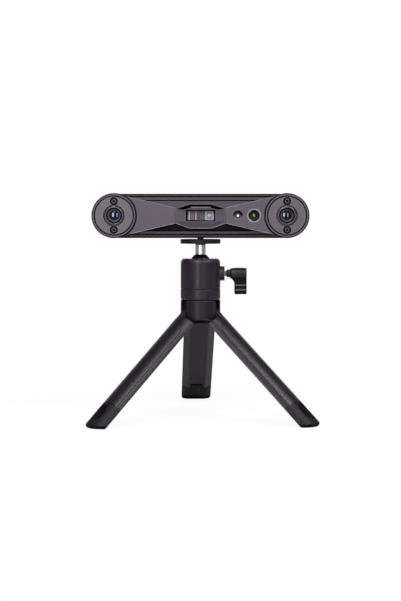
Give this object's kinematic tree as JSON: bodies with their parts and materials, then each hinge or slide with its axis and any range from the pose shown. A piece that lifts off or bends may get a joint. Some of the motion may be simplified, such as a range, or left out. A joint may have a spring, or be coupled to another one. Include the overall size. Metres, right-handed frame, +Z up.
{
  "type": "stereo 3D scanner on mini tripod",
  "caption": "Bar-shaped stereo 3D scanner with a camera in each round end and a light window between them, on a ball head and a mini tripod with folding legs.",
  "frame": {"origin": "on the floor, under the middle of the whole object's bounding box", "axes": "+Z up, -Y out of the scanner's front, +X to the right seen from the front"},
  "size_m": [0.1908, 0.1726, 0.191],
  "materials": {
    "shell_plastic": "satin moulded charcoal",
    "disc_plastic": "satin moulded charcoal",
    "tripod_nylon": "satin moulded black",
    "sole_rubber": "matt black",
    "head_black": "black anodised",
    "chrome_steel": "polished",
    "screw_steel": "black oxide",
    "bare_steel": "turned",
    "lens_glass": "coated",
    "clear_glass": "polished",
    "barrel_black": "black anodised",
    "ring_silver": "turned",
    "bench_aluminium": "milled",
    "board_green": "solder mask",
    "gasket_rubber": "matt black",
    "module_plastic": "moulded grey",
    "led_white": "clear dome",
    "insert_brass": "turned",
    "nylon_white": "natural",
    "button_plastic": "satin black",
    "knob_plastic": "satin black"
  },
  "bodies": {
    "tripod_hub": {"hub_body": "tripod_nylon", "hub_cap": "tripod_nylon", "hinge_pins": "bare_steel", "head_stud": "bare_steel", "pan_base": "head_black", "pan_screw": "bare_steel"},
    "head_housing": {"ball_housing": "head_black", "ball_seat": "nylon_white", "seat_ring": "bare_steel"},
    "clamp_plug": {"clamp_plunger": "nylon_white"},
    "clamp_handle": {"clamp_screw": "bare_steel", "clamp_knob": "knob_plastic"},
    "ball": {"ball_stem": "chrome_steel"},
    "scanner": {"mount_plate": "head_black", "mount_screw": "bare_steel", "face_disc_screws": "screw_steel", "camera_barrels": "barrel_black", "sensor_boards": "board_green", "front_cover": "shell_plastic", "rear_cover": "shell_plastic", "window_glass": "clear_glass", "window_gasket": "gasket_rubber", "line_laser_module": "module_plastic", "pattern_projector_module": "module_plastic", "colour_camera_ring": "ring_silver", "colour_camera_lens": "barrel_black", "flash_led": "led_white", "optical_bench": "bench_aluminium", "main_board": "board_green", "usb_socket": "bare_steel", "status_light": "led_white", "tact_switches": "module_plastic", "cover_screws": "screw_steel", "tripod_insert": "insert_brass", "left_end_shell": "shell_plastic", "left_face_disc": "disc_plastic", "left_lens_hood": "disc_plastic", "left_camera_lens": "lens_glass", "right_end_shell": "shell_plastic", "right_face_disc": "disc_plastic", "right_lens_hood": "disc_plastic", "right_camera_lens": "lens_glass"},
    "scan_key": {"scan_button": "button_plastic"},
    "brighter_key": {"brighter_button": "button_plastic"},
    "dimmer_key": {"dimmer_button": "button_plastic"},
    "left_leg": {"left_leg_body": "tripod_nylon", "left_leg_grip": "tripod_nylon", "left_leg_inner_panel": "tripod_nylon", "left_foot_cap": "tripod_nylon", "left_foot_sole": "sole_rubber"},
    "right_leg": {"right_leg_body": "tripod_nylon", "right_leg_grip": "tripod_nylon", "right_leg_inner_panel": "tripod_nylon", "right_foot_cap": "tripod_nylon", "right_foot_sole": "sole_rubber"},
    "rear_leg": {"rear_leg_body": "tripod_nylon", "rear_leg_grip": "tripod_nylon", "rear_leg_inner_panel": "tripod_nylon", "rear_foot_cap": "tripod_nylon", "rear_foot_sole": "sole_rubber"}
  },
  "joints": [
    {"name": "left_leg_fold", "type": "hinge", "parent": "tripod_hub", "child": "left_leg", "pos_m": [-0.01222, -0.02845, 0.08927], "axis": [0.5373, -0.8434, 0], "range_deg": [0, 46.36]},
    {"name": "right_leg_fold", "type": "hinge", "parent": "tripod_hub", "child": "right_leg", "pos_m": [0.00854, -0.02754, 0.08927], "axis": [0.4617, 0.887, 0], "range_deg": [0, 46.36]},
    {"name": "rear_leg_fold", "type": "hinge", "parent": "tripod_hub", "child": "rear_leg", "pos_m": [-0.00262, -0.01001, 0.08927], "axis": [-0.999, -0.0436, 0], "range_deg": [0, 46.36]},
    {"name": "head_pan", "type": "hinge", "parent": "tripod_hub", "child": "head_housing", "pos_m": [-0.0021, -0.022, 0.1097], "axis": [0, 0, 1], "continuous": true},
    {"name": "ball_tilt", "type": "hinge", "parent": "head_housing", "child": "ball", "pos_m": [-0.0021, -0.022, 0.1311], "axis": [1, 0, 0], "range_deg": [-30, 30]},
    {"name": "ball_turn", "type": "hinge", "parent": "ball", "child": "scanner", "pos_m": [-0.0021, -0.022, 0.1481], "axis": [0, 0, 1], "continuous": true},
    {"name": "clamp_travel", "type": "slide", "parent": "head_housing", "child": "clamp_plug", "axis": [1, 0, 0], "range_m": [0, 0.0012]},
    {"name": "clamp_turn", "type": "hinge", "parent": "clamp_plug", "child": "clamp_handle", "pos_m": [-0.0021, -0.022, 0.1225], "axis": [1, 0, 0], "range_deg": [0, 540.3]},
    {"name": "scan_press", "type": "slide", "parent": "scanner", "child": "scan_key", "axis": [0, -1, 0], "range_m": [0, 0.0006], "stiffness_N_per_m": 800, "springref_m": -0.0005},
    {"name": "brighter_press", "type": "slide", "parent": "scanner", "child": "brighter_key", "axis": [0, -1, 0], "range_m": [0, 0.0006], "stiffness_N_per_m": 800, "springref_m": -0.0005},
    {"name": "dimmer_press", "type": "slide", "parent": "scanner", "child": "dimmer_key", "axis": [0, -1, 0], "range_m": [0, 0.0006], "stiffness_N_per_m": 800, "springref_m": -0.0005}
  ],
  "couplings": [
    {"joint": "clamp_turn", "follows": "clamp_travel", "rad_per_m": 7854}
  ]
}
